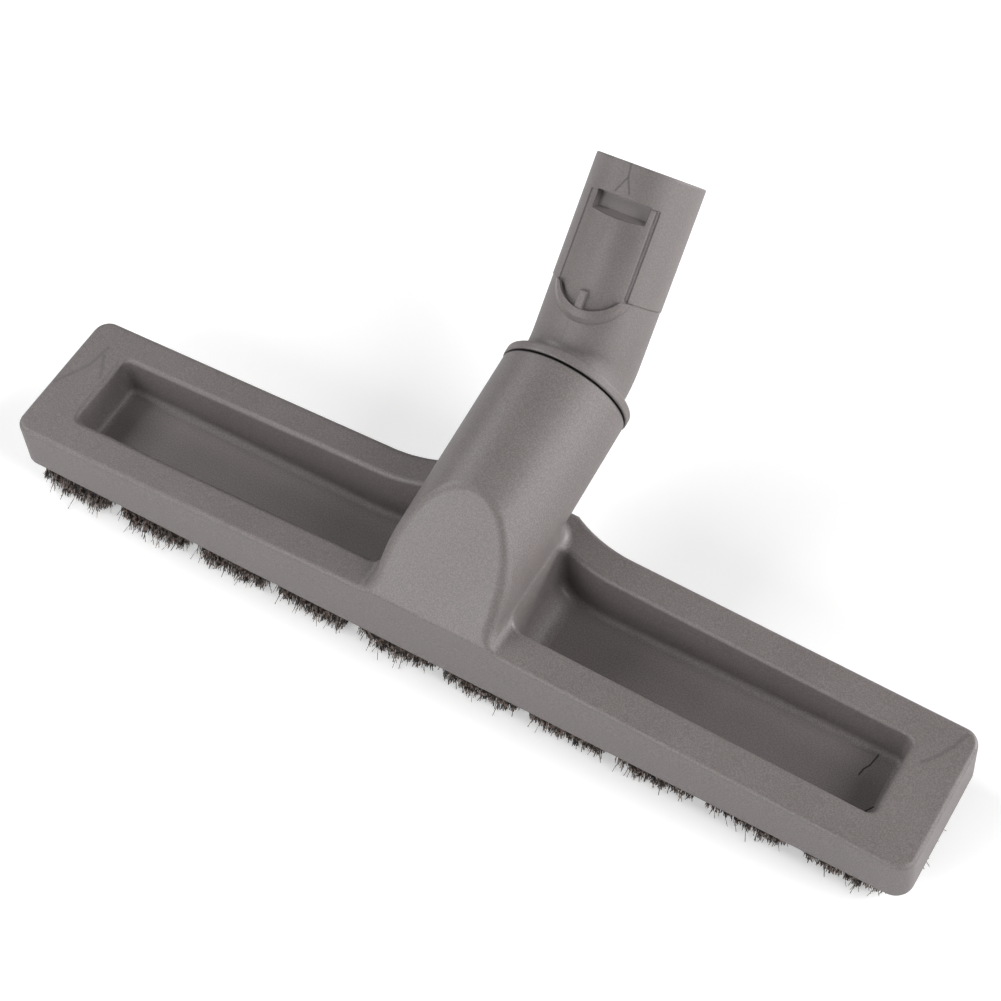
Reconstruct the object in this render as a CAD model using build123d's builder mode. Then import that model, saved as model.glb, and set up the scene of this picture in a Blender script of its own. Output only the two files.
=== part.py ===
"""Vacuum floor brush head: moulded housing with two trays, sole with bristle blocks, swivel elbow."""
from build123d import *
import os
from math import atan, cos, degrees, radians, sin, sqrt, tan

os.makedirs("parts", exist_ok=True)

# Housing outline, in millimetres
head_length = 310.0
head_depth = 49.6
corner_radius = 5.7
end_height = 16.9
roof_angle = 2.8
wall_draft = 1.7
wall = 2.2
edge_round = 1.5

# The rear wall sweeps back towards the neck on both sides
flare_start = 42.0
flare_radius = 45.0

# Trays
front_rim = 11.4
rear_rim = 10.9
end_rim = 16.8
tray_floor_height = 3.0
tray_wall = 2.0
tray_floor_wall = 1.8
tray_draft = 3.0
tray_neck_gap = 0.5
tray_foot_radius = 7.0
tray_front_radius = 5.0
tray_corner_radius = 2.5
lip_round = 1.5

# Neck and its sloping front face
neck_radius = 20.9
neck_wall = 2.4
neck_tilt = 8.9
ring_reach = 31.4
neck_rise = 1.96025
neck_foot_radius = 3.4
neck_rear_inset = 0.6
neck_rear_radius = 6.0
apron_angle = 42.0
apron_inset = 0.8
apron_round = 4.0

# Sole plate, suction mouth and bristle pockets
bristle_drop = 10.0
sole_drop = 0.6
sole_thickness = 1.6
sole_clearance = 0.25
mouth_width = 30.0
mouth_front = 13.0
mouth_rear = 14.0
mouth_round = 4.0
mouth_collar_height = 5.0
mouth_collar_wall = 1.4
block_length = 28.0
block_width = 5.0
block_gap = 2.0
end_block_gap = 2.3
row_inset = 6.0
pocket_wall = 0.8
pocket_roof = 0.8
pocket_depth = 7.2
pocket_play = 0.05
block_splay = 0.5
hair_flute = 3.5
hair_flute_width = 0.6
hair_flute_depth = 0.3

# Sole screws
screw_head_radius = 2.2
screw_radius = 1.2
screw_length = 10.0
screw_play = 0.05
screw_head_height = 1.3
screw_drive_width = 0.6
screw_drive_depth = 0.6
boss_radius = 2.2
boss_bite = 0.9033
end_screw_inset = 12.2
end_screw_y = 9.0
rear_screw_x = 10.0
rear_screw_inset = 0.1

# Swivel elbow
swivel_turn = 4.1
bend_angle = 29.1
bend_height = 11.2
tube_radius = 17.28
tube_wall = 2.3
tube_length = 61.3
tube_end_round = 0.5
seat_length = 38.6
root_relief = 0.2
flange_overhang = 0.4
flange_thickness = 3.0
flange_gap = 0.65
flange_round = 0.6
sleeve_length = 17.0
sleeve_wall = 2.2
swivel_clearance = 0.1
bend_round = 3.0

# Latch side of the tube
latch_turn = 4.0
latch_start = 10.2
latch_length = 6.4
latch_width = 17.2
latch_depth = 5.88
latch_ramp = 1.8
latch_wall = 1.4
panel_half_angle = 41.0
panel_start = 10.6
panel_depth = 0.3
ridge_tip = 39.0
ridge_bottom = 48.7
ridge_half_angle = 45.0
ridge_width = 2.2
ridge_bottom_width = 3.9
ridge_height = 1.5
ridge_slope = 1.5
rib_width = 2.4
rib_height = 1.2
rib_start = 39.4
rib_length = 7.5
rib_offset = 0.9

# Retaining ring between sleeve and neck
retainer_depth = 9.0
retainer_width = 3.0
retainer_bite = 1.0
retainer_play = 0.3
retainer_slit = 4.0

# Places worked out from the sizes above
bore_radius = neck_radius - neck_wall
skirt_z = bristle_drop
rear_y = head_depth / 2
front_y = -head_depth / 2
ring_y = rear_y + ring_reach
neck_rear_y = rear_y - neck_rear_inset
apron_y = front_y + apron_inset
roof_slope = tan(radians(roof_angle))
roof_z = skirt_z + end_height + roof_slope * head_length / 2
ring_z = roof_z + neck_rise + (ring_y - apron_y) * tan(radians(neck_tilt))
flare_rise = flare_radius - sqrt(flare_radius**2 - (flare_start - neck_radius) ** 2)
sole_bottom = skirt_z - sole_drop
sole_top = sole_bottom + sole_thickness
tray_floor = skirt_z + tray_floor_height
build_height = 70.0
touch = 0.05
flange_radius = neck_radius + flange_overhang
latch_floor = tube_radius - latch_depth

# The tube leans back from the neck's axis, and its end sets how far back the part reaches
neck_dir = Vector(0, cos(radians(neck_tilt)), sin(radians(neck_tilt)))
bend_x = -sin(radians(bend_angle)) * sin(radians(swivel_turn))
bend_up = sin(radians(bend_angle)) * cos(radians(swivel_turn))
neck_up = Vector(0, -neck_dir.Z, neck_dir.Y)
tube_dir = neck_dir * cos(radians(bend_angle)) + neck_up * bend_up + Vector(bend_x, 0, 0)
tube_end_y = ring_y + neck_dir.Y * bend_height + tube_dir.Y * (tube_length - tube_end_round)
tube_rim = (tube_radius - tube_end_round) * sqrt(1 - tube_dir.Y**2) + tube_end_round
head_y = -(front_y + tube_end_y + tube_rim) / 2

# Planes: the origin is on the floor, under the middle of the whole part
floor_plane = Plane((0, head_y, 0))
side_plane = Plane((0, head_y, 0), x_dir=(1, 0, 0), z_dir=(0, -1, 0))
ring_plane = Plane((0, head_y + ring_y, ring_z), x_dir=(-1, 0, 0), z_dir=neck_dir)
axis_plane = Plane(ring_plane.origin, x_dir=(1, 0, 0), z_dir=neck_up)
apron_dir = Vector(0, -sin(radians(apron_angle)), cos(radians(apron_angle)))
apron_plane = Plane((0, head_y + apron_y, roof_z), x_dir=(1, 0, 0), z_dir=apron_dir)


def above(height):
    """A level plane over the middle of the head."""
    return floor_plane.offset(height)


def head_outline(inset):
    """Plan of the head, drawn inset from the outer wall, with both rear flares."""
    back = rear_y - inset
    neck_back = rear_y + flare_rise - inset
    radius = flare_radius + inset
    neck_x = flare_start - sqrt(radius**2 - (rear_y + flare_radius - neck_back) ** 2)
    with BuildSketch() as plan:
        RectangleRounded(head_length - 2 * inset, head_depth - 2 * inset, corner_radius - inset)
        with BuildLine():
            Polyline((-flare_start, back), (-flare_start, 0), (flare_start, 0), (flare_start, back))
            RadiusArc((flare_start, back), (neck_x, neck_back), radius)
            Line((neck_x, neck_back), (-neck_x, neck_back))
            RadiusArc((-neck_x, neck_back), (-flare_start, back), radius)
        make_face()
    return plan.sketch


def roof_profile(drop):
    """Section across the length under the two roof slopes, lowered by drop."""
    end_x = head_length / 2 + wall
    end_z = roof_z - roof_slope * end_x - drop
    with BuildSketch() as section:
        with BuildLine():
            Polyline((-end_x, 0), (-end_x, end_z), (0, roof_z - drop), (end_x, end_z), (end_x, 0), close=True)
        make_face()
    return section.sketch


def tray_space(grow, floor):
    """The hollow of the right tray, grown sideways by grow, from floor up past its lip."""
    top = roof_z + neck_foot_radius + tray_neck_gap
    lean = (top - roof_z) * tan(radians(tray_draft))
    near_x = neck_radius + tray_neck_gap - lean - grow
    far_x = head_length / 2 - end_rim + 2 * lean + grow
    low_y = front_y + front_rim - lean - grow
    high_y = rear_y - rear_rim + lean + grow
    radius = flare_radius + rear_rim - lean - grow
    corner_y = rear_y + flare_radius - sqrt(radius**2 - (flare_start - near_x) ** 2)
    corners = [(near_x, corner_y), (near_x, low_y), (far_x, low_y), (far_x, high_y), (flare_start, high_y)]
    with BuildPart() as space:
        with BuildSketch(above(top)):
            with BuildLine():
                Polyline(*corners)
                RadiusArc((flare_start, high_y), (near_x, corner_y), radius)
            make_face()
        extrude(amount=floor - top, taper=tray_draft)
    return space


def near(value, target):
    """Whether two lengths agree closely enough to call them the same."""
    return abs(value - target) < touch


def spots(edge):
    """Five places along an edge, measured from the middle of the head."""
    return [edge @ part - Vector(0, head_y, 0) for part in (0, 0.25, 0.5, 0.75, 1)]


# Neck core: the stretch of the housing that carries the neck, with its concave feet on the roof
foot_x = neck_radius + neck_foot_radius
foot_z = roof_z - roof_slope * foot_x + neck_foot_radius / cos(radians(roof_angle))
foot_end_x = foot_x - neck_foot_radius * sin(radians(roof_angle))
foot_end_z = foot_z - neck_foot_radius * cos(radians(roof_angle))
core_low = skirt_z + wall
core_x = foot_x + neck_foot_radius
core_roof_z = roof_z - roof_slope * core_x
core_rear_y = neck_rear_y - neck_rear_radius
post_x = neck_radius - neck_rear_radius
post_foot_x = foot_end_x - post_x
with BuildSketch() as post_section:
    with BuildLine():
        Polyline((neck_rear_radius, foot_z), (neck_rear_radius, build_height), (0, build_height))
        Polyline((0, build_height), (0, core_low), (post_foot_x, core_low), (post_foot_x, foot_end_z))
        RadiusArc((neck_rear_radius, foot_z), (post_foot_x, foot_end_z), -neck_foot_radius)
    make_face()

with BuildPart() as corner_post:
    with BuildSketch(Plane.XZ):
        add(post_section.sketch)
    revolve(axis=Axis.Z)

with BuildPart() as core:
    with BuildSketch(above(skirt_z)):
        add(head_outline(0))
    extrude(amount=build_height, taper=wall_draft)
    with BuildSketch(side_plane.offset(-core_rear_y)):
        with BuildLine():
            Polyline((neck_radius, foot_z), (neck_radius, build_height), (-neck_radius, build_height))
            Line((-neck_radius, build_height), (-neck_radius, foot_z))
            RadiusArc((-foot_end_x, foot_end_z), (-neck_radius, foot_z), -neck_foot_radius)
            Polyline((-foot_end_x, foot_end_z), (-core_x, core_roof_z), (-core_x, core_low))
            Polyline((-core_x, core_low), (core_x, core_low), (core_x, core_roof_z), (foot_end_x, foot_end_z))
            RadiusArc((neck_radius, foot_z), (foot_end_x, foot_end_z), -neck_foot_radius)
        make_face()
    extrude(amount=core_rear_y - front_y + wall, mode=Mode.INTERSECT)
    with BuildSketch(Plane((-post_x, head_y + core_rear_y, 0), x_dir=(0, 1, 0), z_dir=(1, 0, 0))):
        add(post_section.sketch)
    extrude(amount=2 * post_x)
    with Locations((-post_x, head_y + core_rear_y, 0), (post_x, head_y + core_rear_y, 0)):
        add(corner_post.part)
    split(bisect_by=axis_plane, keep=Keep.BOTTOM)
    split(bisect_by=apron_plane, keep=Keep.BOTTOM)

with BuildPart() as neck:
    with BuildSketch(ring_plane):
        Circle(neck_radius)
    extrude(amount=-build_height - ring_y)
    split(bisect_by=apron_plane, keep=Keep.BOTTOM)
    split(bisect_by=side_plane.offset(-front_y - edge_round), keep=Keep.BOTTOM)
    split(bisect_by=above(core_low), keep=Keep.TOP)

with BuildPart() as neck_core:
    add(core.part)
    add(neck.part)
    arch_edges = [
        edge
        for edge in neck_core.edges()
        if all(near((spot - Vector(0, apron_y, roof_z)).dot(apron_dir), 0) for spot in spots(edge))
        and spots(edge)[2].Y > apron_y + edge_round / 2
    ]
    fillet(arch_edges, apron_round)
    front_edges = [
        edge
        for edge in neck_core.edges()
        if all(spot.Y < apron_y + 2 * touch and spot.Z > roof_z - neck_foot_radius for spot in spots(edge))
        and abs(spots(edge)[0].X - spots(edge)[-1].X) > edge_round / 5
    ]
    fillet(front_edges, edge_round)

# Low body: drafted walls under two gentle roof slopes, its upper rim rounded
rear_reach = rear_y + flare_rise + wall
with BuildPart() as body:
    with BuildSketch(above(skirt_z)):
        add(head_outline(0))
    extrude(amount=build_height, taper=wall_draft)
    with BuildSketch(side_plane.offset(-rear_reach)):
        add(roof_profile(0))
    extrude(amount=2 * rear_reach, mode=Mode.INTERSECT)
    rim_edges = [
        edge
        for edge in body.edges()
        if all(spot.Z > skirt_z + end_height / 2 for spot in spots(edge))
        and max(abs(spot.X) for spot in spots(edge)) > edge_round
    ]
    fillet(rim_edges, edge_round)

# Tray hollow with its rounds: a soft ramp at the neck, easy corners in front, tighter ones elsewhere
tray_far_x = head_length / 2 - end_rim - wall


def below_rim(edge):
    """Whether an edge of the tray hollow lies clear of the hollow's open top."""
    return min(spot.Z for spot in spots(edge)) < roof_z + neck_foot_radius - lip_round


with BuildPart() as tray:
    add(tray_space(0, tray_floor).part)
    ramp_edges = [
        edge
        for edge in tray.edges()
        if all(near(spot.Z, tray_floor) and near(spot.X, spots(edge)[0].X) for spot in spots(edge))
        and spots(edge)[0].X < flare_start
    ]
    fillet(ramp_edges, tray_foot_radius)
    front_chain = [
        edge
        for edge in tray.edges()
        if all(spot.Y < front_y / 3 for spot in spots(edge))
        and spots(edge)[2].X < tray_far_x
        and below_rim(edge)
    ]
    fillet(front_chain, tray_front_radius)
    rear_chain = [
        edge
        for edge in tray.edges()
        if all(spot.Y > rear_y / 3 for spot in spots(edge))
        and spots(edge)[2].X < tray_far_x
        and below_rim(edge)
    ]
    fillet(rear_chain, tray_corner_radius)
    end_chain = [
        edge
        for edge in tray.edges()
        if all(spot.X > tray_far_x - 2 * tray_corner_radius for spot in spots(edge)) and below_rim(edge)
    ]
    fillet(end_chain, tray_corner_radius)


def on_tray(spot):
    """Whether a place, measured from the middle of the head, lies on the wall of either tray hollow."""
    return near(tray.part.distance_to(Vector(abs(spot.X), head_y + spot.Y, spot.Z)), 0)


# Inside of the housing: under the roof, round the trays, and up the neck
inner_apron = Plane(apron_plane.origin - apron_dir * neck_wall, x_dir=(1, 0, 0), z_dir=apron_dir)
inner_front = Plane(
    (0, head_y + front_y + wall, skirt_z),
    x_dir=(1, 0, 0),
    z_dir=(0, -cos(radians(wall_draft)), sin(radians(wall_draft))),
)
inner_rear_y = neck_rear_y - neck_wall
with BuildPart() as neck_hollow:
    with BuildSketch(above(core_low)):
        with BuildLine():
            Polyline((-bore_radius, core_rear_y), (-bore_radius, front_y), (bore_radius, front_y))
            Line((bore_radius, front_y), (bore_radius, core_rear_y))
            RadiusArc((bore_radius, core_rear_y), (post_x, inner_rear_y), neck_wall - neck_rear_radius)
            Line((post_x, inner_rear_y), (-post_x, inner_rear_y))
            RadiusArc((-post_x, inner_rear_y), (-bore_radius, core_rear_y), neck_wall - neck_rear_radius)
        make_face()
    extrude(amount=build_height)
    split(bisect_by=axis_plane, keep=Keep.BOTTOM)
    with BuildSketch(ring_plane):
        Circle(bore_radius)
    extrude(amount=-build_height - ring_y)
    with BuildSketch(ring_plane.offset(-retainer_depth + retainer_play / 2)):
        Circle(bore_radius + retainer_bite + swivel_clearance)
    extrude(amount=-retainer_width - retainer_play)
    split(bisect_by=inner_apron, keep=Keep.BOTTOM)
    split(bisect_by=inner_front, keep=Keep.BOTTOM)
    split(bisect_by=above(core_low), keep=Keep.TOP)

with BuildPart() as hollow:
    with BuildSketch(above(skirt_z)):
        add(head_outline(wall))
    extrude(amount=build_height, taper=wall_draft)
    with BuildSketch(side_plane.offset(-rear_reach)):
        add(roof_profile(wall))
    extrude(amount=2 * rear_reach, mode=Mode.INTERSECT)
    add(neck_hollow.part)
    tub = tray_space(tray_wall, tray_floor - tray_floor_wall).part
    add(tub, mode=Mode.SUBTRACT)
    add(mirror(tub, about=Plane.YZ), mode=Mode.SUBTRACT)

end_screw_x = head_length / 2 - end_screw_inset
rear_screw_y = rear_y - rear_screw_inset
boss_height = roof_z - roof_slope * end_screw_x - wall + boss_bite - sole_top
screw_places = [
    (-end_screw_x, -end_screw_y),
    (-end_screw_x, end_screw_y),
    (end_screw_x, -end_screw_y),
    (end_screw_x, end_screw_y),
    (-rear_screw_x, rear_screw_y),
    (rear_screw_x, rear_screw_y),
]

with BuildPart() as upper_housing:
    add(body.part)
    add(neck_core.part)
    add(tray.part, mode=Mode.SUBTRACT)
    add(mirror(tray.part, about=Plane.YZ), mode=Mode.SUBTRACT)
    lip_edges = [
        edge
        for edge in upper_housing.edges()
        if all(spot.Z > skirt_z + end_height - edge_round and on_tray(spot) for spot in spots(edge))
        and abs(spots(edge)[0].Z - spots(edge)[-1].Z) < tray_foot_radius
    ]
    fillet(lip_edges, lip_round)
    add(hollow.part, mode=Mode.SUBTRACT)
    # Screw bosses, the rear pair tied to the rear wall
    with BuildSketch(above(sole_top)):
        with Locations(*screw_places):
            Circle(boss_radius)
        for x in (-rear_screw_x, rear_screw_x):
            with Locations((x, rear_screw_y + boss_radius)):
                Rectangle(boss_radius, 2 * boss_radius)
    extrude(amount=boss_height)
    with BuildSketch(above(sole_top)):
        with Locations(*screw_places):
            Circle(screw_radius + screw_play)
    extrude(amount=boss_height - wall, mode=Mode.SUBTRACT)
upper_housing.part.label = "upper_housing"
export_step(upper_housing.part, "parts/upper_housing.step")

# Sole plate: flat sheet inside the skirt, a collar round the suction mouth, channels for the bristle blocks
block_pitch = block_length + block_gap
blocks_in_row = int((head_length - 2 * wall) / block_pitch)
row_end_x = blocks_in_row * block_pitch / 2
rear_blocks_a_side = int((row_end_x - flare_start) / block_pitch)
row_y = rear_y - row_inset
end_row_x = head_length / 2 - row_inset
front_places = [((i + 0.5) * block_pitch - row_end_x, -row_y) for i in range(blocks_in_row)]
rear_steps = [row_end_x - (i + 0.5) * block_pitch for i in range(rear_blocks_a_side)]
rear_places = sorted([(side * step, row_y) for side in (-1, 1) for step in rear_steps] + [(0, row_y)])
end_places = [(-end_row_x, 0), (end_row_x, 0)]
end_block_length = 2 * (row_y - block_width / 2 - end_block_gap)
pocket_top = sole_bottom + pocket_depth
with BuildSketch() as pockets:
    with Locations(*front_places, *rear_places):
        Rectangle(block_length + 2 * pocket_play, block_width + 2 * pocket_play)
    with Locations(*end_places):
        Rectangle(block_width + 2 * pocket_play, end_block_length + 2 * pocket_play)

mouth_y = (mouth_rear - mouth_front) / 2
mouth_depth = mouth_rear + mouth_front
with BuildPart() as sole_plate:
    with BuildSketch(above(sole_bottom)):
        add(head_outline(wall + sole_clearance))
    extrude(amount=sole_thickness)
    with BuildSketch(above(sole_bottom)):
        with Locations(*front_places, *rear_places):
            Rectangle(block_pitch + 2 * pocket_wall - block_gap, block_width + 2 * pocket_wall)
        with Locations(*end_places):
            Rectangle(block_width + 2 * pocket_wall, end_block_length + 2 * pocket_wall)
    extrude(amount=pocket_depth + pocket_roof)
    with BuildSketch(above(sole_bottom)):
        with Locations((0, mouth_y)):
            RectangleRounded(
                mouth_width + 2 * mouth_collar_wall,
                mouth_depth + 2 * mouth_collar_wall,
                mouth_round + mouth_collar_wall,
            )
    extrude(amount=sole_thickness + mouth_collar_height)
    with BuildSketch(above(sole_bottom)):
        with Locations((0, mouth_y)):
            RectangleRounded(mouth_width, mouth_depth, mouth_round)
    extrude(amount=sole_thickness + mouth_collar_height, mode=Mode.SUBTRACT)
    with BuildSketch(above(sole_bottom)):
        add(pockets.sketch)
    extrude(amount=pocket_depth, mode=Mode.SUBTRACT)
    for x, y in screw_places:
        with Locations((x, head_y + y, sole_bottom + sole_thickness / 2)):
            Cylinder(screw_radius + 2 * screw_play, 2 * sole_thickness, mode=Mode.SUBTRACT)
        with Locations((x, head_y + y, sole_bottom + screw_head_height / 2)):
            Cone(
                screw_head_radius + screw_play,
                screw_radius + screw_play,
                screw_head_height,
                mode=Mode.SUBTRACT,
            )
sole_plate.part.label = "sole_plate"
export_step(sole_plate.part, "parts/sole_plate.step")

# Six countersunk screws with a straight slot
with BuildPart() as screw:
    with Locations((0, 0, screw_head_height / 2)):
        Cone(screw_head_radius, screw_radius, screw_head_height)
    with Locations((0, 0, screw_length / 2)):
        Cylinder(screw_radius, screw_length)
    with Locations((0, 0, screw_drive_depth / 2)):
        Box(2 * screw_head_radius, screw_drive_width, screw_drive_depth, mode=Mode.SUBTRACT)
    chamfer(screw.faces().sort_by(Axis.Z)[-1].edges(), screw_radius / 2)

with BuildPart() as sole_screws:
    with Locations(*[(x, head_y + y, sole_bottom) for x, y in screw_places]):
        add(screw.part)
sole_screws.part.label = "sole_screws"
export_step(sole_screws.part, "parts/sole_screws.step")

# Bristle blocks: packed hair standing on the floor, a little wider at its feet, its long sides fluted


def bristle_block(length):
    """A block along X, standing over the origin."""
    flutes = round(length / hair_flute)
    with BuildPart() as block:
        with BuildSketch(Plane.XY.offset(pocket_top - pocket_play)):
            Rectangle(length, block_width)
        extrude(amount=-(pocket_top - pocket_play - sole_bottom))
        with BuildSketch(Plane.XY.offset(sole_bottom)):
            Rectangle(length, block_width)
        extrude(amount=-sole_bottom, taper=-degrees(atan(block_splay / sole_bottom)))
        with BuildSketch():
            with GridLocations(length / flutes, block_width + 2 * block_splay, flutes - 1, 2):
                Rectangle(hair_flute_width, 2 * hair_flute_depth + block_splay)
        extrude(amount=sole_bottom, mode=Mode.SUBTRACT)
    return block.part


row_block = bristle_block(block_length)
for name, places in (("front", front_places), ("rear", rear_places)):
    for i, (x, y) in enumerate(places):
        with BuildPart() as bristles:
            with Locations((x, head_y + y, 0)):
                add(row_block)
        bristles.part.label = f"{name}_bristles_{i + 1}"
        export_step(bristles.part, f"parts/{name}_bristles_{i + 1}.step")

end_block = bristle_block(end_block_length)
for name, (x, y) in zip(("left", "right"), end_places):
    with BuildPart() as bristles:
        with Locations(Location((x, head_y + y, 0), (0, 0, 90))):
            add(end_block)
    bristles.part.label = f"{name}_bristles"
    export_step(bristles.part, f"parts/{name}_bristles.step")

# Split ring that keeps the elbow in the neck
sleeve_radius = bore_radius - swivel_clearance
with BuildPart() as retaining_ring:
    with BuildSketch(ring_plane.offset(-retainer_depth)):
        Circle(bore_radius + retainer_bite)
        Circle(sleeve_radius - retainer_bite, mode=Mode.SUBTRACT)
        with Locations((0, -sleeve_radius)):
            Rectangle(retainer_slit, 4 * retainer_bite, mode=Mode.SUBTRACT)
    extrude(amount=-retainer_width)
retaining_ring.part.label = "retaining_ring"
export_step(retaining_ring.part, "parts/retaining_ring.step")

# Swivel elbow
ring_center = ring_plane.origin
elbow_up = neck_up * cos(radians(swivel_turn)) - Vector(sin(radians(swivel_turn)), 0, 0)
elbow_side = neck_dir.cross(elbow_up)
bend_point = ring_center + neck_dir * bend_height
tube_end = bend_point + tube_dir * tube_length
mould_up = elbow_up * cos(radians(bend_angle)) - neck_dir * sin(radians(bend_angle))
latch_dir = mould_up * cos(radians(latch_turn)) + elbow_side * sin(radians(latch_turn))
latch_side = tube_dir.cross(latch_dir)
end_plane = Plane(tube_end, x_dir=latch_side * -1, z_dir=tube_dir)
latch_plane = Plane(tube_end, x_dir=latch_side, z_dir=latch_dir)
outer_bend_radius = tube_radius + bend_round
bend_reach = outer_bend_radius * tan(radians(bend_angle / 2))
bend_axis = Axis(bend_point - neck_dir * bend_reach + elbow_up * outer_bend_radius, elbow_side)
neck_run = Plane(bend_point - neck_dir * bend_reach, x_dir=elbow_side, z_dir=neck_dir)


def elbow_run(radius, start):
    """A bent bar from start below the ring to the tube's end."""
    with BuildPart() as run:
        with BuildSketch(neck_run):
            Circle(radius)
        extrude(amount=-(bend_height - bend_reach + start))
        with BuildSketch(neck_run):
            Circle(radius)
        revolve(axis=bend_axis, revolution_arc=bend_angle)
        with BuildSketch(end_plane):
            Circle(radius)
        extrude(amount=-(tube_length - bend_reach))
    return run.part


# Crescent ridge below the finger panel, drawn looking straight at the latch side
ridge_x = tube_radius * sin(radians(ridge_half_angle))
with BuildSketch() as crescent:
    with BuildLine():
        ThreePointArc((-ridge_x, -ridge_tip), (0, -ridge_bottom), (ridge_x, -ridge_tip))
        Line((ridge_x, -ridge_tip), (ridge_x - ridge_width, -ridge_tip))
        ThreePointArc(
            (ridge_x - ridge_width, -ridge_tip),
            (0, -ridge_bottom + ridge_bottom_width),
            (-ridge_x + ridge_width, -ridge_tip),
        )
        Line((-ridge_x + ridge_width, -ridge_tip), (-ridge_x, -ridge_tip))
    make_face()

with BuildPart() as ridge:
    with BuildSketch(latch_plane):
        add(crescent.sketch)
    extrude(amount=2 * tube_radius)
    with BuildSketch(end_plane):
        Circle(tube_radius + ridge_height)
        Circle(tube_radius - ridge_height, mode=Mode.SUBTRACT)
    extrude(amount=-tube_length, mode=Mode.INTERSECT)
    lower_edges = ridge.edges().filter_by(
        lambda edge: near(latch_plane.to_local_coords(edge @ 0.5).Y, -ridge_bottom)
    )
    chamfer(lower_edges.sort_by(Axis(tube_end, latch_dir))[-1], ridge_height - panel_depth, ridge_slope)

with BuildPart() as rib:
    with BuildSketch(latch_plane):
        with Locations((-rib_offset, -rib_start - rib_length / 2)):
            Rectangle(rib_width, rib_length)
    extrude(amount=2 * tube_radius)
    with BuildSketch(end_plane):
        Circle(tube_radius + rib_height)
        Circle(tube_radius - ridge_height, mode=Mode.SUBTRACT)
    extrude(amount=-tube_length, mode=Mode.INTERSECT)

with BuildPart() as panel:
    with BuildSketch(end_plane.offset(-panel_start)):
        Circle(tube_radius + 2 * panel_depth)
        Circle(tube_radius - panel_depth, mode=Mode.SUBTRACT)
        with BuildLine():
            panel_side = 2 * tube_radius * tan(radians(panel_half_angle))
            Polyline((0, 0), (panel_side, 2 * tube_radius), (-panel_side, 2 * tube_radius), close=True)
        make_face(mode=Mode.INTERSECT)
    extrude(amount=-(ridge_bottom - ridge_bottom_width / 2 - panel_start))
    # Its lower end follows the ridge
    with BuildSketch(latch_plane):
        with BuildLine():
            ThreePointArc(
                (-ridge_x + ridge_width / 2, -ridge_tip),
                (0, -ridge_bottom + ridge_bottom_width / 2),
                (ridge_x - ridge_width / 2, -ridge_tip),
            )
            Line((ridge_x - ridge_width / 2, -ridge_tip), (2 * ridge_x, -ridge_tip))
            Polyline((2 * ridge_x, -ridge_tip), (2 * ridge_x, 0), (-2 * ridge_x, 0))
            Line((-2 * ridge_x, 0), (-2 * ridge_x, -ridge_tip))
            Line((-2 * ridge_x, -ridge_tip), (-ridge_x + ridge_width / 2, -ridge_tip))
        make_face()
    extrude(amount=2 * tube_radius, mode=Mode.INTERSECT)

latch_end = latch_start + latch_length
with BuildPart() as latch_pocket:
    with BuildSketch(Plane(tube_end, x_dir=tube_dir, z_dir=latch_side)):
        with BuildLine():
            Polyline(
                (-latch_start, latch_floor),
                (-latch_start, 2 * tube_radius),
                (-latch_end, 2 * tube_radius),
                (-latch_end, tube_radius - panel_depth),
                (-latch_end + latch_ramp, latch_floor),
                close=True,
            )
        make_face()
    extrude(amount=latch_width / 2, both=True)

bore_of_tube = tube_radius - tube_wall
with BuildPart() as bore:
    add(elbow_run(bore_of_tube, sleeve_length / 4))
    with BuildSketch(ring_plane.offset(-sleeve_length)):
        Circle(sleeve_radius - sleeve_wall)
    extrude(amount=sleeve_length - flange_gap)
    # The latch pocket stays closed towards the air way
    with BuildSketch(latch_plane.offset(latch_floor - latch_wall)):
        with Locations((0, -latch_start - latch_length / 2)):
            Rectangle(latch_width + 2 * latch_wall, latch_length + 2 * latch_wall)
    extrude(amount=tube_radius, mode=Mode.SUBTRACT)

with BuildPart() as swivel_elbow:
    add(elbow_run(tube_radius - root_relief, sleeve_length / 2))
    # The seat for the tube is a touch wider than the root behind it
    with BuildSketch(end_plane):
        Circle(tube_radius)
    extrude(amount=-seat_length)
    fillet(swivel_elbow.faces().sort_by(Axis(tube_end, tube_dir))[-1].edges(), tube_end_round)
    with BuildSketch(ring_plane.offset(flange_gap)):
        Circle(sleeve_radius)
    extrude(amount=-sleeve_length - flange_gap)
    with BuildSketch(ring_plane.offset(flange_gap)):
        Circle(flange_radius)
    extrude(amount=flange_thickness)
    flange_rim = [
        edge for edge in swivel_elbow.edges().filter_by(GeomType.CIRCLE) if near(edge.radius, flange_radius)
    ]
    fillet(flange_rim, flange_round)
    add(panel.part, mode=Mode.SUBTRACT)
    add(ridge.part)
    add(rib.part)
    add(bore.part, mode=Mode.SUBTRACT)
    add(latch_pocket.part, mode=Mode.SUBTRACT)
    with BuildSketch(ring_plane.offset(-retainer_depth + retainer_play)):
        Circle(sleeve_radius + swivel_clearance)
        Circle(sleeve_radius - retainer_bite - swivel_clearance, mode=Mode.SUBTRACT)
    extrude(amount=-retainer_width - 2 * retainer_play, mode=Mode.SUBTRACT)
swivel_elbow.part.label = "swivel_elbow"
export_step(swivel_elbow.part, "parts/swivel_elbow.step")
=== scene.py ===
"""Looks of a vacuum floor brush head: moulded grey plastic, tufts of dark hair, soft studio light."""

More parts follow.
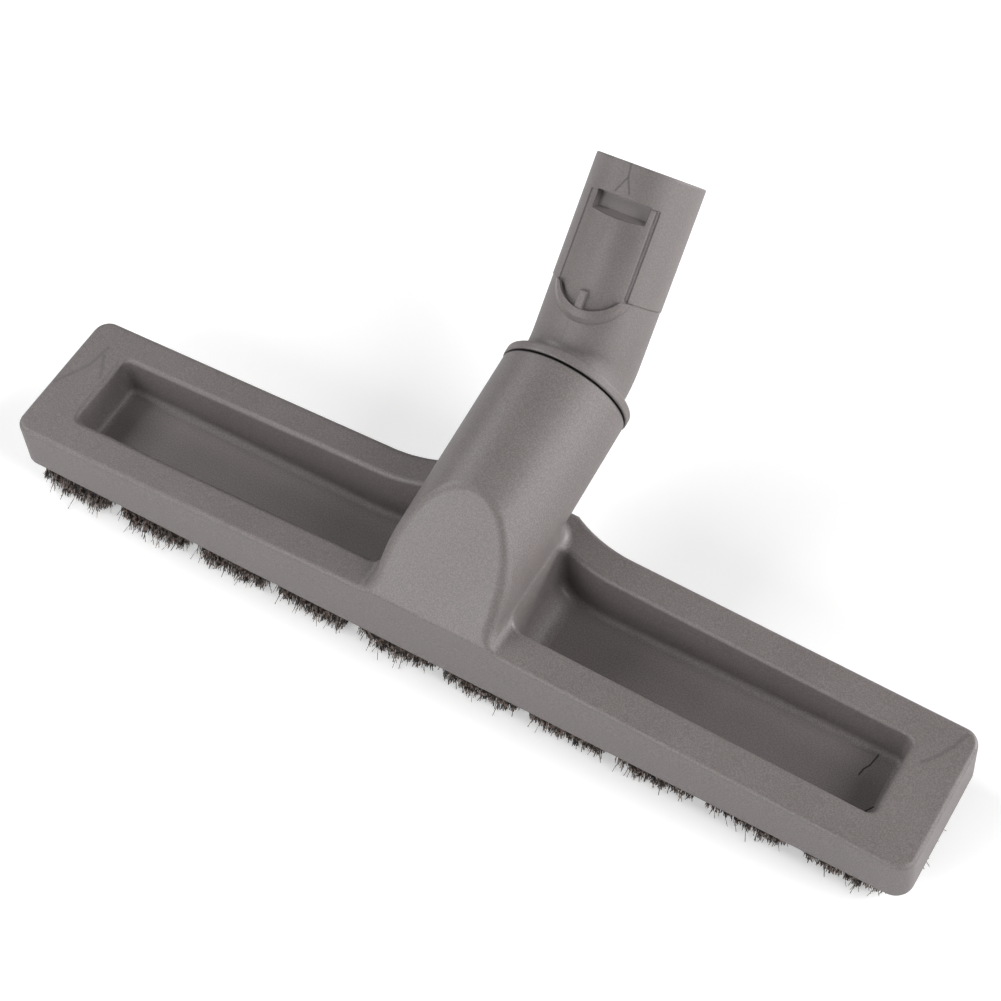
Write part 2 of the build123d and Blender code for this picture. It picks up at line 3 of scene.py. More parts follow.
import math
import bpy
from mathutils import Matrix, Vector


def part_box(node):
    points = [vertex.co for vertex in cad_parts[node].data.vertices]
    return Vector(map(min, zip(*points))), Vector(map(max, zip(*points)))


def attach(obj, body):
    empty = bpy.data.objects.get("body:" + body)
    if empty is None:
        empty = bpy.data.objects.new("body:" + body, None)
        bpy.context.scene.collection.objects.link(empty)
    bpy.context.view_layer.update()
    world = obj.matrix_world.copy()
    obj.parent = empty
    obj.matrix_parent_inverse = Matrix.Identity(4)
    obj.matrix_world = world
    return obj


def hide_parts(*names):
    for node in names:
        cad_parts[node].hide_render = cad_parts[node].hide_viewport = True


bl_info = {
    "name": "Floor Brush Head",
    "version": (1, 0, 0),
    "blender": (4, 5, 0),
    "location": "View3D > Sidebar > Brush Head",
    "description": "Dresses the packed floor brush head with its plastic, its hair and its studio",
    "category": "Object",
}

import bmesh
import bpy
from bpy.props import FloatProperty, FloatVectorProperty, IntProperty, PointerProperty
from mathutils import Matrix, Vector

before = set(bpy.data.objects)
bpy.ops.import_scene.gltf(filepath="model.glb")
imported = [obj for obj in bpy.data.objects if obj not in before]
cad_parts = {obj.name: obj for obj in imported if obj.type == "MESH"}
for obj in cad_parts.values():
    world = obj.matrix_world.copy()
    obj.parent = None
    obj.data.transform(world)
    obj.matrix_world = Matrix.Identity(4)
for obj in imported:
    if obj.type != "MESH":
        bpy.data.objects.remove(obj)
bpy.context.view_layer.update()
MM = 0.001
HEAD_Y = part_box("upper_housing")[0][1] + 0.0248  # middle of the head along Y, in the part's frame

# The swivel ring and the tube's end, in the part's frame
RING_CENTRE = Vector((0.0, 0.005593, 0.049))
NECK_DIR = Vector((0.0, 0.98796, 0.15471))
TUBE_END = Vector((-0.002132, 0.064975, 0.088397))
TUBE_DIR = Vector((-0.034772, 0.788203, 0.614432))
TUBE_RADIUS = 0.01728
BEND = math.radians(29.1)
TUBE_UP = (TUBE_DIR * math.cos(BEND) - NECK_DIR).normalized()
TUBE_SIDE = NECK_DIR.cross(TUBE_UP).normalized()

HALF_LENGTH = 0.155  # of the head
TUFT_LENGTH, TUFT_DEPTH = 0.0262, 0.0046  # of the hair's roots in one block
FLOOR_DROP = 0.0002  # keeps the studio floor clear of the hair's feet
FLOOR_FADE = (0.3, 0.75)  # from the middle, where the floor turns white

# Colours of the small marks
# Painted shade: near black, standing in for the shadow in the gap at the swivel
SWIVEL_GAP_SHADE = (0.012, 0.011, 0.011)
FLOW_TONE = (0.07, 0.062, 0.066)
HAIRLINE_TONE = (0.01, 0.009, 0.009)
MOULD_MARK_TONE = (0.06, 0.053, 0.054)
# Painted shade along the panel's small edge step
PANEL_EDGE_SHADE = (0.07, 0.062, 0.062)
PARTING_TONE = (0.07, 0.06, 0.06)
# Painted light: a paler tone that lightens the inside of the latch pocket
POCKET_PAINTED_LIGHT = (0.36, 0.325, 0.325)

# The camera, in millimetres from the middle of the head: where it stands, its right and its up
EYE = (218.68, -278.47, 605.46)
EYE_RIGHT = (0.8551, 0.5150, -0.0598)
EYE_UP = (-0.4048, 0.7353, 0.5434)
PICTURE_WIDTH = 1001  # pixels
FOCAL_PIXELS = 2280.57
SENSOR_WIDTH = 36.0


class Wire:
    """A node socket that takes part in Python's arithmetic."""

    def __init__(self, kit, socket):
        self.kit = kit
        self.socket = socket

    def _do(self, operation, *values):
        return self.kit.node("ShaderNodeMath", {"operation": operation}, *values)

    def __add__(self, other):
        return self._do("ADD", self, other)

    def __radd__(self, other):
        return self._do("ADD", other, self)

    def __sub__(self, other):
        return self._do("SUBTRACT", self, other)

    def __rsub__(self, other):
        return self._do("SUBTRACT", other, self)

    def __mul__(self, other):
        return self._do("MULTIPLY", self, other)

    def __rmul__(self, other):
        return self._do("MULTIPLY", other, self)

    def __truediv__(self, other):
        return self._do("DIVIDE", self, other)

    def __pow__(self, other):
        return self._do("POWER", self, other)

    def root(self):
        return self._do("SQRT", self)

    def low(self, other):
        return self._do("MINIMUM", self, other)

    def high(self, other):
        return self._do("MAXIMUM", self, other)

    def size(self):
        return self._do("ABSOLUTE", self)

    def turn_to(self, other):
        return self._do("ARCTAN2", self, other)

    def wave(self):
        return self._do("SINE", self)

    def ease(self, start, end):
        """0 before start, 1 past end, smooth between them."""
        return self.kit.node(
            "ShaderNodeMapRange",
            {"interpolation_type": "SMOOTHSTEP"},
            Value=self,
            **{"From Min": start, "From Max": end, "To Min": 0.0, "To Max": 1.0},
        )


class NodeKit:
    """Adds nodes to one tree: a type, its settings, then its inputs by order or by name."""

    def __init__(self, tree):
        self.tree = tree

    def node(self, kind, settings=None, *values, out=0, **named):
        made = self.tree.nodes.new(kind)
        for key, value in (settings or {}).items():
            setattr(made, key, value)
        for i, value in enumerate(values):
            self.feed(made.inputs[i], value)
        for key, value in named.items():
            self.feed(made.inputs[key], value)
        return Wire(self, made.outputs[out])

    def feed(self, socket, value):
        if isinstance(value, Wire):
            self.tree.links.new(value.socket, socket)
        else:
            socket.default_value = value

    def noise(self, place, scale, detail=2.0, roughness=0.5):
        return self.node(
            "ShaderNodeTexNoise", None, Vector=place, Scale=scale, Detail=detail, Roughness=roughness
        )

    def blend(self, factor, one, two):
        return self.node(
            "ShaderNodeMix", {"data_type": "RGBA"}, out=2, Factor=factor,
            A=(*one, 1) if isinstance(one, tuple) else one,
            B=(*two, 1) if isinstance(two, tuple) else two,
        )

    def along(self, place, direction, start):
        """How far a place lies along a direction, counted from start."""
        dot = self.node(
            "ShaderNodeVectorMath", {"operation": "DOT_PRODUCT"}, place, tuple(direction), out="Value"
        )
        return dot - Vector(direction).dot(Vector(start))

    def stroke(self, place, start, end, width):
        """1 on a straight mark from start to end, falling to 0 across width."""
        start, run = Vector(start), Vector(end) - Vector(start)
        share = self.along(place, run / run.length_squared, start).high(0.0).low(1.0)
        foot = self.node("ShaderNodeVectorMath", {"operation": "SCALE"}, tuple(run), Scale=share)
        off = self.node("ShaderNodeVectorMath", {"operation": "SUBTRACT"}, place, tuple(start))
        gap = self.node("ShaderNodeVectorMath", {"operation": "DISTANCE"}, off, foot, out="Value")
        return 1.0 - gap.ease(width * 0.2, width)

    def line(self, place, points, width):
        """A mark through several points, given in millimetres."""
        points = [Vector(point) * MM for point in points]
        mark = self.stroke(place, points[0], points[1], width)
        for start, end in zip(points[1:], points[2:]):
            mark = mark.high(self.stroke(place, start, end, width))
        return mark


def on_tube(back, turn, lift=0.0):
    """A place on the tube in millimetres: how far back from its end, and how far round from its top."""
    side = TUBE_UP * math.cos(math.radians(turn)) + TUBE_SIDE * math.sin(math.radians(turn))
    return (TUBE_END + side * (TUBE_RADIUS + lift * MM)) / MM - TUBE_DIR * back


class PlasticLook(bpy.types.PropertyGroup):
    colour: FloatVectorProperty(
        name="Colour", description="Base colour of the moulded plastic", subtype="COLOR", size=3,
        default=(0.168, 0.149, 0.147),
    )
    roughness: FloatProperty(name="Roughness", description="Gloss of the eroded surface", default=0.46)
    grain_size: FloatProperty(
        name="Grain", description="Width of one grain of the surface", default=0.00042, unit="LENGTH",
        precision=5,
    )
    grain_depth: FloatProperty(
        name="Grain depth", description="Height of the grain", default=0.00005, unit="LENGTH", precision=6
    )
    edge_softness: FloatProperty(
        name="Edge softness", description="Radius that sharp creases show", default=0.0006, unit="LENGTH",
        precision=5,
    )


class HairLook(bpy.types.PropertyGroup):
    hairs: IntProperty(name="Hairs", description="Hairs in one block", default=1500, min=1)
    root_height: FloatProperty(
        name="Root height", description="Height of the sole's underside", default=0.0094, unit="LENGTH",
        precision=5,
    )
    width: FloatProperty(
        name="Width", description="Width of one hair", default=0.00027, unit="LENGTH", precision=6
    )
    dark: FloatVectorProperty(
        name="Dark hair", description="Colour of the dark hairs", subtype="COLOR", size=3,
        default=(0.012, 0.009, 0.008),
    )
    light: FloatVectorProperty(
        name="Light hair", description="Colour of the brown hairs", subtype="COLOR", size=3,
        default=(0.085, 0.046, 0.03),
    )
    tip: FloatVectorProperty(
        name="Hair tips", description="Colour of the pale tips", subtype="COLOR", size=3,
        default=(0.42, 0.33, 0.29),
    )


class StudioLook(bpy.types.PropertyGroup):
    power: FloatProperty(name="Power", description="Power of one full lamp", default=14.0, unit="POWER")
    reach: FloatProperty(name="Reach", description="Distance of the lamps", default=1.3, unit="LENGTH")
    lamp_size: FloatProperty(
        name="Lamp size", description="Width of each square lamp", default=0.55, unit="LENGTH"
    )
    sky: FloatProperty(name="Sky", description="Strength of the even light from all round", default=0.0)
    floor_colour: FloatVectorProperty(
        name="Floor", description="Colour of the studio floor", subtype="COLOR", size=3,
        default=(0.86, 0.86, 0.86),
    )


def new_material(name):
    material = bpy.data.materials.new(name)
    material.use_nodes = True
    tree = material.node_tree
    shader = next(n for n in tree.nodes if n.type == "BSDF_PRINCIPLED")
    return material, NodeKit(tree), shader


def give(node_name, material):
    """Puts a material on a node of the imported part."""
    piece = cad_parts[node_name]
    piece.data.materials.clear()
    piece.data.materials.append(material)


def moulded_plastic(name, look, shade=1.0, grain=1.0, extra=None):
    """Moulded plastic with a fine eroded grain, faint mottling and softened creases."""
    material, kit, shader = new_material(name)
    place = kit.node("ShaderNodeTexCoord", None, out="Object")
    mottle = kit.noise(place, 55.0, 3.0).ease(0.3, 0.7)
    speck = kit.noise(place, 1 / look.grain_size, 2.0, 0.6)
    tone = tuple(c * shade for c in look.colour)
    colour = kit.blend(mottle, tuple(c * 0.95 for c in tone), tuple(c * 1.03 for c in tone))
    colour = kit.blend(speck.ease(0.42, 0.66) * 0.55 * grain, colour, tuple(c * 1.4 for c in tone))
    colour = kit.blend((1.0 - speck.ease(0.34, 0.58)) * 0.5 * grain, colour, tuple(c * 0.7 for c in tone))
    gloss = look.roughness + (mottle - 0.5) * 0.05 + (speck - 0.5) * 0.12
    height = speck * grain
    if extra:
        colour, gloss, height = extra(kit, place, colour, gloss, height)
    soft = kit.node("ShaderNodeBevel", {"samples": 6}, Radius=look.edge_softness)
    bump = kit.node(
        "ShaderNodeBump", None, Strength=0.55, Distance=look.grain_depth, Height=height, Normal=soft
    )
    kit.feed(shader.inputs["Base Color"], colour)
    kit.feed(shader.inputs["Roughness"], gloss)
    kit.feed(shader.inputs["Normal"], bump)
    shader.inputs["Specular IOR Level"].default_value = 0.5
    return material


FLOW_LINES = (
    ((-153.0, -54.6, 27.0), (-146.8, -44.1, 27.3), (-145.5, -35.9, 27.4)),
    ((-140.4, -46.8, 27.6), (-144.9, -38.6, 27.4)),
    ((142.8, -42.8, 27.5), (146.3, -38.0, 27.3), (148.7, -33.2, 27.2), (150.2, -28.7, 27.1)),
)
STRAY_HAIRS = (
    ((127.2, -47.8, 13.0), (127.6, -45.4, 13.0), (128.6, -43.7, 13.0), (129.6, -38.1, 13.0)),
    ((133.5, -57.5, 13.0), (135.3, -54.8, 13.0)),
)


def housing_marks(kit, place, colour, gloss, height):
    """Flow lines at both ends, two hairlines on the right tray's floor, and painted shade, a near-black band,
    on the neck's rim at the swivel's gap.
    """
    for points in FLOW_LINES:
        colour = kit.blend(kit.line(place, points, 0.0009) * 0.35, colour, FLOW_TONE)
    for points in STRAY_HAIRS:
        colour = kit.blend(kit.line(place, points, 0.00035), colour, HAIRLINE_TONE)
    # Painted shade: the neck's rim next to the swivel ring is coloured near black for the gap's shadow
    gap = kit.along(place, NECK_DIR, RING_CENTRE).ease(-0.0004, -0.0001)
    return kit.blend(gap * 0.9, colour, SWIVEL_GAP_SHADE), gloss, height


TUBE_MARK = ((-2.9, 54.4, 102.1), (-2.2, 51.0, 99.4), (-4.5, 47.3, 96.3))
TUBE_MARK_ARM = ((-2.2, 51.0, 99.4), (0.0, 47.6, 96.7))


def elbow_marks(kit, place, colour, gloss, height):
    """The smoother panel and its lip, the forked mould mark, a parting line, painted light in the latch
    pocket, painted shade along the panel's edge and at the swivel's gap.
    """
    behind = 0.0 - kit.along(place, TUBE_DIR, TUBE_END)
    side, above = kit.along(place, TUBE_SIDE, TUBE_END), kit.along(place, TUBE_UP, TUBE_END)
    turn = side.turn_to(above)
    panel = (turn - math.radians(4.0)).size()
    panel = (1.0 - panel.ease(math.radians(40.0), math.radians(41.5))) * behind.ease(0.0100, 0.0108)
    panel = panel * (1.0 - behind.ease(0.0455, 0.0475))
    gloss = gloss - panel * 0.1
    height = height * (1.0 - panel * 0.5)
    for points in (TUBE_MARK, TUBE_MARK_ARM):
        colour = kit.blend(kit.line(place, points, 0.0005) * 0.6, colour, MOULD_MARK_TONE)
    lip = kit.line(place, [on_tube(11.0 + 3.0 * i, 43.6, -0.3) for i in range(10)], 0.0006)
    edge = kit.line(place, [on_tube(11.0 + 3.0 * i, 41.0, -0.3) for i in range(10)], 0.00045)
    height = height + lip * 9.0 - edge * 4.0
    # Painted shade: the line along the panel's edge is darkened for the shade on its small step
    colour = kit.blend(edge * 0.35, colour, PANEL_EDGE_SHADE)
    parting = kit.line(place, [on_tube(47.5, -5.0), on_tube(56.0, -5.0)], 0.00035)
    colour = kit.blend(parting * 0.5, colour, PARTING_TONE)
    # Painted light: inside the latch pocket the plastic is lifted 40% of the way to a paler tone, standing in
    # for its brighter lighting
    pocket = behind.ease(0.0100, 0.0101) * (1.0 - behind.ease(0.0166, 0.0167))
    pocket = pocket * (1.0 - (side * side + above * above).root().ease(0.0162, 0.0166)) * panel
    colour = kit.blend(pocket * 0.4, colour, POCKET_PAINTED_LIGHT)
    # Painted shade: the sleeve inside the neck and the flange's lower edge are coloured near black for the
    # gap's shadow
    gap = 1.0 - kit.along(place, NECK_DIR, RING_CENTRE).ease(0.0006, 0.0008)
    return kit.blend(gap * 0.92, colour, SWIVEL_GAP_SHADE), gloss, height


class BRUSHHEAD_OT_housing(bpy.types.Operator):
    """Dress the upper housing in its moulded grey plastic"""

    bl_idname = "brushhead.housing"
    bl_label = "Dress housing"

    def execute(self, context):
        look = context.scene.brush_plastic
        give("upper_housing", moulded_plastic("Housing plastic", look, extra=housing_marks))
        return {"FINISHED"}


class BRUSHHEAD_OT_elbow(bpy.types.Operator):
    """Dress the swivel elbow, smoother inside its flat panel"""

    bl_idname = "brushhead.elbow"
    bl_label = "Dress elbow"

    def execute(self, context):
        look = context.scene.brush_plastic
        give("swivel_elbow", moulded_plastic("Elbow plastic", look, grain=0.7, extra=elbow_marks))
        return {"FINISHED"}


class BRUSHHEAD_OT_fixings(bpy.types.Operator):
    """Dress the sole plate, the split ring and the screws"""

    bl_idname = "brushhead.fixings"
    bl_label = "Dress sole and fixings"

    def execute(self, context):
        look = context.scene.brush_plastic
        give("sole_plate", moulded_plastic("Sole plastic", look, shade=0.8, grain=0.7))
        give("retaining_ring", moulded_plastic("Ring plastic", look, shade=0.5, grain=0.4))
        material, kit, shader = new_material("Screw steel")
        place = kit.node("ShaderNodeTexCoord", None, out="Object")
        scuff = kit.noise(place, 1500.0, 3.0).ease(0.3, 0.8)
        kit.feed(shader.inputs["Base Color"], kit.blend(scuff, (0.42, 0.41, 0.4), (0.28, 0.27, 0.26)))
        kit.feed(shader.inputs["Roughness"], 0.3 + scuff * 0.2)
        shader.inputs["Metallic"].default_value = 1.0
        give("sole_screws", material)
        return {"FINISHED"}


def hair_material(look):
    """Stiff natural hair: near black and brown, with a share of pale tips."""
    material, kit, shader = new_material("Brush hair")
    place = kit.node("ShaderNodeTexCoord", None, out="Object")
    strand = kit.noise(place, 900.0, 1.0)
    colour = kit.blend(strand.ease(0.46, 0.62), tuple(look.dark), tuple(look.light))
    height = kit.along(place, (0.0, 0.0, 1.0), (0.0, 0.0, 0.0))
    tip = (1.0 - height.ease(0.0, 0.009)) * strand.ease(0.5, 0.6)
    colour = kit.blend(tip * 0.75, colour, tuple(look.tip))
    kit.feed(shader.inputs["Base Color"], colour)
    kit.feed(shader.inputs["Roughness"], 0.45 + strand * 0.2)
    return material


def hair_tree(material):
    """Geometry Nodes: points on a flat patch, one tapered, bent hair hanging from each."""
    tree = bpy.data.node_groups.new("Hair tuft", "GeometryNodeTree")
    face = tree.interface
    for name, default in (
        ("Hairs", 1500), ("Seed", 0), ("Length", 0.0094), ("Width", 0.00027),
        ("Size X", TUFT_LENGTH), ("Size Y", TUFT_DEPTH), ("Splay X", 0.1), ("Splay Y", 0.1),
        ("Lean X", 0.0), ("Lean Y", 0.0), ("Tousle", 0.12), ("Ragged", 0.1), ("Clump", 0.3),
    ):
        kind = "NodeSocketInt" if isinstance(default, int) else "NodeSocketFloat"
        face.new_socket(name, in_out="INPUT", socket_type=kind).default_value = default
    face.new_socket("Geometry", in_out="OUTPUT", socket_type="NodeSocketGeometry")
    kit = NodeKit(tree)
    start = tree.nodes.new("NodeGroupInput")
    given = {socket.name: Wire(kit, socket) for socket in start.outputs if socket.name}

    def chance(low, high, step):
        picker = tree.nodes.new("FunctionNodeRandomValue")
        picker.data_type = "FLOAT"
        ends = [s for s in picker.inputs if s.type == "VALUE" and s.enabled]
        kit.feed(ends[0], low)
        kit.feed(ends[1], high)
        kit.feed(picker.inputs["Seed"], given["Seed"] + step)
        return Wire(kit, next(s for s in picker.outputs if s.type == "VALUE" and s.enabled))

    # One strand: a three-sided spike, one unit long, hanging down from its root
    cone = tree.nodes.new("GeometryNodeMeshCone")
    cone.fill_type = "NONE"
    for key, value in (
        ("Vertices", 3), ("Side Segments", 4), ("Radius Top", 0.5), ("Radius Bottom", 0.26), ("Depth", 1.0),
    ):
        cone.inputs[key].default_value = value
    strand = kit.node("GeometryNodeTransform", None, Wire(kit, cone.outputs["Mesh"]))
    kit.feed(strand.socket.node.inputs["Rotation"], (math.pi, 0.0, 0.0))

    # Roots: a cloud of points over the block's plan
    cloud = tree.nodes.new("GeometryNodePoints")
    kit.feed(cloud.inputs["Count"], given["Hairs"])
    root_x = given["Size X"] * chance(-0.5, 0.5, 1)
    root_y = given["Size Y"] * chance(-0.5, 0.5, 2)
    root = kit.node("ShaderNodeCombineXYZ", None, root_x, root_y, given["Length"])
    kit.feed(cloud.inputs["Position"], root)
    spot = kit.node("GeometryNodeInputPosition")
    split = tree.nodes.new("ShaderNodeSeparateXYZ")
    kit.feed(split.inputs[0], spot)
    at_x, at_y = Wire(kit, split.outputs[0]), Wire(kit, split.outputs[1])

    # Each hair's lean grows towards the block's edges, follows its clump, and has a little chance of its own
    wild = chance(0.0, 1.0, 7) ** 6.0
    patch = tree.nodes.new("ShaderNodeTexNoise")
    patch.noise_dimensions = "4D"
    kit.feed(patch.inputs["Vector"], spot)
    kit.feed(patch.inputs["W"], given["Seed"] * 1.7)
    for key, value in (("Scale", 420.0), ("Detail", 1.0)):
        patch.inputs[key].default_value = value
    sway = tree.nodes.new("ShaderNodeSeparateXYZ")
    kit.feed(sway.inputs[0], Wire(kit, patch.outputs["Color"]))
    clump_x = (Wire(kit, sway.outputs[0]) - 0.5) * given["Clump"] * 4.0
    clump_y = (Wire(kit, sway.outputs[1]) - 0.5) * given["Clump"] * 4.0
    stray = (0.35 + wild * 2.5) * given["Tousle"]
    splay_x = at_x / given["Size X"] * given["Splay X"] * 2.0
    splay_y = at_y / given["Size Y"] * given["Splay Y"] * 2.0
    tilt_x = splay_x + given["Lean X"] + clump_x + stray * chance(-1.0, 1.0, 3)
    tilt_y = splay_y + given["Lean Y"] + clump_y + stray * chance(-1.0, 1.0, 4)

    # Hairs are a little shorter towards both ends of a block
    from_middle = at_x * 2.0 / given["Size X"]
    edge = (from_middle * from_middle) ** 3.0
    length = given["Length"] * (1.0 - given["Ragged"] * chance(0.0, 1.0, 5)) * (1.0 - edge * 0.25)
    spread = given["Width"] * chance(0.7, 1.2, 6)
    placed = kit.node(
        "GeometryNodeInstanceOnPoints", None, Points=Wire(kit, cloud.outputs[0]), Instance=strand,
        Rotation=kit.node("ShaderNodeCombineXYZ", None, 0.0, 0.0, chance(0.0, 6.283, 8)),
        Scale=kit.node("ShaderNodeCombineXYZ", None, spread, spread, length),
    )
    kept = {"tilt_x": tilt_x, "tilt_y": tilt_y, "own_length": length, "tone": chance(0.0, 1.0, 9)}
    for key, value in kept.items():
        store = tree.nodes.new("GeometryNodeStoreNamedAttribute")
        store.data_type = "FLOAT"
        store.domain = "INSTANCE"
        kit.feed(store.inputs["Geometry"], placed)
        kit.feed(store.inputs["Name"], key)
        kit.feed(next(s for s in store.inputs if s.name == "Value" and s.enabled), value)
        placed = Wire(kit, store.outputs["Geometry"])
    loose = kit.node("GeometryNodeRealizeInstances", None, placed)

    # Bend every strand from its root: the offset grows towards the tip
    own = {}
    for key in kept:
        reader = tree.nodes.new("GeometryNodeInputNamedAttribute")
        reader.data_type = "FLOAT"
        reader.inputs["Name"].default_value = key
        own[key] = Wire(kit, reader.outputs["Attribute"])
    split = tree.nodes.new("ShaderNodeSeparateXYZ")
    kit.feed(split.inputs[0], kit.node("GeometryNodeInputPosition"))
    reach = (given["Length"] - Wire(kit, split.outputs[2])) / own["own_length"]
    bend = reach**1.6 * own["own_length"]
    wave = (reach * 5.0 + own["tone"] * 9.0).wave() * reach * own["own_length"] * 0.03
    shift_x, shift_y = own["tilt_x"] * bend + wave, own["tilt_y"] * bend + wave
    shift = kit.node("ShaderNodeCombineXYZ", None, shift_x, shift_y, 0.0)
    bent = kit.node("GeometryNodeSetPosition", None, Geometry=loose, Offset=shift)
    done = kit.node("GeometryNodeSetMaterial", None, bent, Material=material)
    end = tree.nodes.new("NodeGroupOutput")
    kit.feed(end.inputs[0], done)
    return tree


def set_input(modifier, name, value):
    """Sets one input of a Geometry Nodes modifier by its name."""
    sockets = modifier.node_group.interface.items_tree
    item = next(i for i in sockets if i.name == name and i.in_out == "INPUT")
    modifier[item.identifier] = value


def grow_tuft(name, tree, middle, turned, values):
    """Makes one block's hair as a plain mesh that sits in place, feet on the floor."""
    source = bpy.data.objects.new(name + "_source", bpy.data.meshes.new(name + "_source"))
    bpy.context.scene.collection.objects.link(source)
    modifier = source.modifiers.new("Hair", "NODES")
    modifier.node_group = tree
    for key, value in values.items():
        set_input(modifier, key, value)
    bpy.context.view_layer.update()
    ready = source.evaluated_get(bpy.context.evaluated_depsgraph_get())
    mesh = bpy.data.meshes.new_from_object(ready)
    bpy.data.objects.remove(source)
    mesh.name = name
    place = Matrix.Translation(middle) @ Matrix.Rotation(math.radians(90 if turned else 0), 4, "Z")
    mesh.transform(place)
    tuft = bpy.data.objects.new(name, mesh)
    bpy.context.scene.collection.objects.link(tuft)
    return tuft


class BRUSHHEAD_OT_bristles(bpy.types.Operator):
    """Grow a tuft of hair in place of each bristle block"""

    bl_idname = "brushhead.bristles"
    bl_label = "Grow bristles"

    def execute(self, context):
        look = context.scene.brush_hair
        tree = hair_tree(hair_material(look))
        blocks = sorted(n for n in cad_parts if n.endswith("bristles") or "_bristles_" in n)
        if not blocks:
            raise RuntimeError("the packed part has no bristle blocks")
        for number, name in enumerate(blocks):
            low, high = (Vector(corner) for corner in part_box(name))
            middle = Vector(((low.x + high.x) / 2, (low.y + high.y) / 2, 0.0))
            turned = high.y - low.y > high.x - low.x
            front = name.startswith("front")
            worn = (middle.x + HALF_LENGTH) / (2 * HALF_LENGTH)  # 0 at the left end, most splayed, to 1
            outward = 0.12
            if front:
                outward = 0.38 - 0.32 * worn
            if front or name.startswith("right"):
                outward = -outward
            values = {
                "Hairs": look.hairs if front else int(look.hairs * 0.75), "Seed": 100 + number,
                "Length": look.root_height, "Width": look.width, "Size X": TUFT_LENGTH, "Size Y": TUFT_DEPTH,
                "Splay X": -0.04, "Splay Y": 0.16 - 0.08 * worn, "Lean X": 0.0, "Lean Y": outward,
                "Tousle": 0.22 - 0.08 * worn, "Ragged": 0.22, "Clump": 0.16 - 0.06 * worn,
            }
            tuft = grow_tuft(name + "_hair", tree, middle, turned, values)
            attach(tuft, "head")
            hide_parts(name)
        return {"FINISHED"}


def lamp(name, place, target, size, power):
    """A square area lamp that looks at a point."""
    data = bpy.data.lights.new(name, "AREA")
    data.shape = "SQUARE"
    data.size = size
    data.energy = power
    light = bpy.data.objects.new(name, data)
    light.location = place
    light.rotation_euler = (Vector(target) - Vector(place)).to_track_quat("-Z", "Y").to_euler()
    bpy.context.scene.collection.objects.link(light)


# Each lamp: degrees round from the front towards the right, degrees above the floor, share of full power
LAMPS = (
    (0, 12, 0.24), (90, 12, 0.27), (135, 12, 1.01), (315, 12, 0.13),
    (90, 40, 0.54), (270, 40, 0.56), (0, 89, 0.03), (338, 31, 0.48),
)


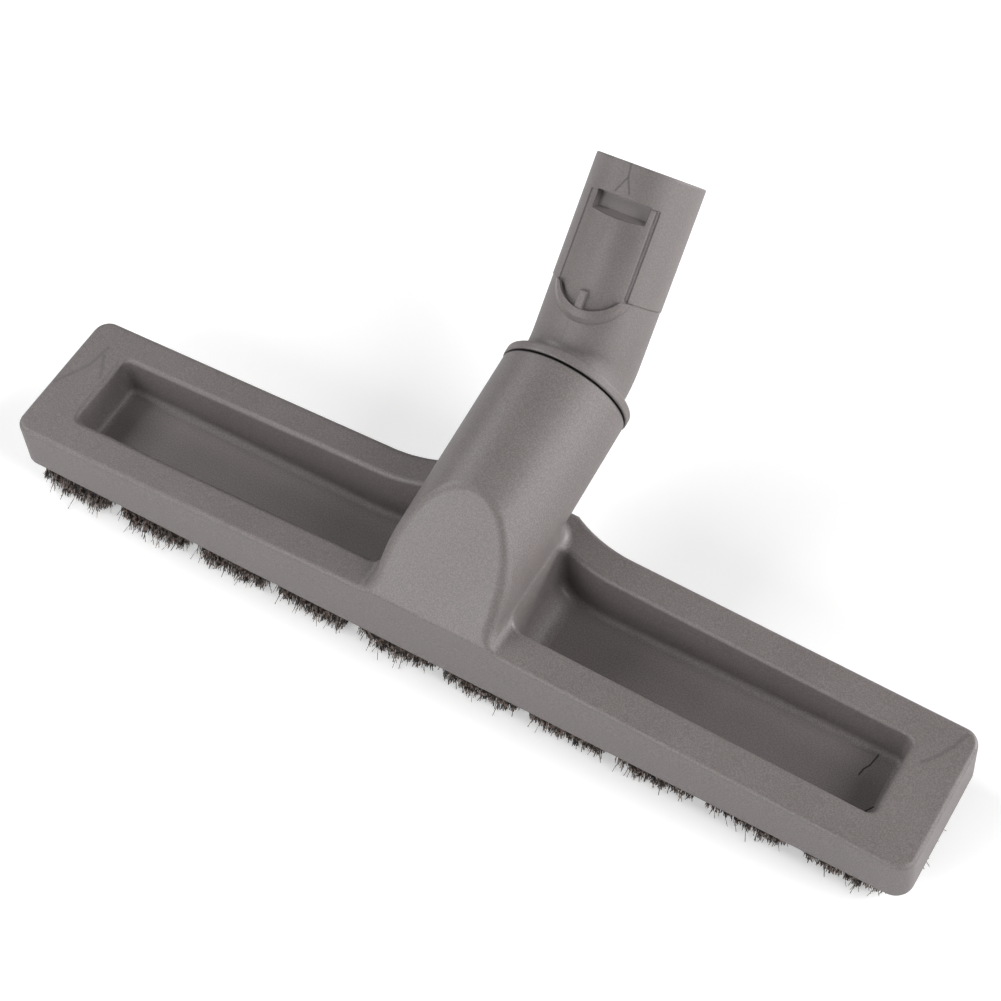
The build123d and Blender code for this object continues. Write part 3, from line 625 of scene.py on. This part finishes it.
class BRUSHHEAD_OT_studio(bpy.types.Operator):
    """Lay the pale floor, hang the lamps and place the camera"""

    bl_idname = "brushhead.studio"
    bl_label = "Build studio"

    def execute(self, context):
        scene = context.scene
        look = scene.brush_studio
        mesh = bpy.data.meshes.new("studio_floor")
        shape = bmesh.new()
        bmesh.ops.create_grid(shape, x_segments=8, y_segments=8, size=3.0)
        bmesh.ops.translate(shape, verts=shape.verts, vec=(0, 0, -FLOOR_DROP))
        shape.to_mesh(mesh)
        shape.free()
        floor = bpy.data.objects.new("studio_floor", mesh)
        scene.collection.objects.link(floor)
        material, kit, shader = new_material("Studio floor")
        shader.inputs["Base Color"].default_value = (*look.floor_colour, 1)
        shader.inputs["Roughness"].default_value = 0.9
        shader.inputs["Specular IOR Level"].default_value = 0.0
        rays = kit.node("ShaderNodeLightPath", None, out="Is Camera Ray")
        shine = kit.node("ShaderNodeEmission", None, Color=(1, 1, 1, 1), Strength=rays * 0.3)
        both = kit.node("ShaderNodeAddShader", None, Wire(kit, shader.outputs[0]), shine)

        # Away from the head the floor turns the sky's white, so that no horizon shows
        place = kit.node("ShaderNodeTexCoord", None, out="Object")
        away = kit.node("ShaderNodeVectorMath", {"operation": "LENGTH"}, place, out="Value").ease(*FLOOR_FADE)
        white = kit.node("ShaderNodeEmission", None, Color=(1, 1, 1, 1), Strength=1.0)
        whole = kit.node("ShaderNodeMixShader", None, away * rays, both, white)
        output = next(n for n in material.node_tree.nodes if n.type == "OUTPUT_MATERIAL")
        kit.feed(output.inputs["Surface"], whole)
        mesh.materials.append(material)

        world = bpy.data.worlds.new("Studio sky")
        world.use_nodes = True
        scene.world = world
        air = NodeKit(world.node_tree)
        background = next(n for n in world.node_tree.nodes if n.type == "BACKGROUND")
        background.inputs["Color"].default_value = (1, 1, 1, 1)
        seen = air.node("ShaderNodeLightPath", None, out="Is Camera Ray")
        air.feed(background.inputs["Strength"], seen.high(look.sky))
        scene.view_settings.view_transform = "Standard"

        target = Vector((0.0, -0.02, 0.03))
        for number, (round_by, above, share) in enumerate(LAMPS):
            turn, lift = math.radians(round_by), math.radians(above)
            way = Vector((math.sin(turn) * math.cos(lift), -math.cos(turn) * math.cos(lift), math.sin(lift)))
            lamp(f"lamp_{number}", target + way * look.reach, target, look.lamp_size, look.power * share)

        eye = Vector(EYE) * MM + Vector((0, HEAD_Y, 0))
        right, up = Vector(EYE_RIGHT), Vector(EYE_UP)
        back = right.cross(up).normalized()
        up = back.cross(right).normalized()
        right.normalize()
        data = bpy.data.cameras.new("photo_camera")
        data.sensor_width = SENSOR_WIDTH
        data.sensor_fit = "HORIZONTAL"
        data.lens = FOCAL_PIXELS * SENSOR_WIDTH / PICTURE_WIDTH
        data.clip_start = 0.01
        data.clip_end = 20.0
        camera = bpy.data.objects.new("photo_camera", data)
        camera.matrix_world = Matrix(
            (
                (right.x, up.x, back.x, eye.x),
                (right.y, up.y, back.y, eye.y),
                (right.z, up.z, back.z, eye.z),
                (0, 0, 0, 1),
            )
        )
        scene.collection.objects.link(camera)
        scene.camera = camera
        return {"FINISHED"}


class BRUSHHEAD_PT_panel(bpy.types.Panel):
    """Buttons that dress the brush head"""

    bl_label = "Brush head"
    bl_space_type = "VIEW_3D"
    bl_region_type = "UI"
    bl_category = "Brush Head"

    def draw(self, context):
        for operator in STEPS:
            self.layout.operator(operator.bl_idname)


STEPS = (
    BRUSHHEAD_OT_studio,
    BRUSHHEAD_OT_housing,
    BRUSHHEAD_OT_elbow,
    BRUSHHEAD_OT_fixings,
    BRUSHHEAD_OT_bristles,
)
CLASSES = (PlasticLook, HairLook, StudioLook, *STEPS, BRUSHHEAD_PT_panel)


def register():
    for cls in CLASSES:
        bpy.utils.register_class(cls)
    bpy.types.Scene.brush_plastic = PointerProperty(type=PlasticLook)
    bpy.types.Scene.brush_hair = PointerProperty(type=HairLook)
    bpy.types.Scene.brush_studio = PointerProperty(type=StudioLook)


def unregister():
    for name in ("brush_studio", "brush_hair", "brush_plastic"):
        delattr(bpy.types.Scene, name)
    for cls in reversed(CLASSES):
        bpy.utils.unregister_class(cls)


def main():
    register()
    bpy.ops.brushhead.studio()
    bpy.ops.brushhead.housing()
    bpy.ops.brushhead.elbow()
    bpy.ops.brushhead.fixings()
    bpy.ops.brushhead.bristles()


if __name__ == "__main__":
    main()
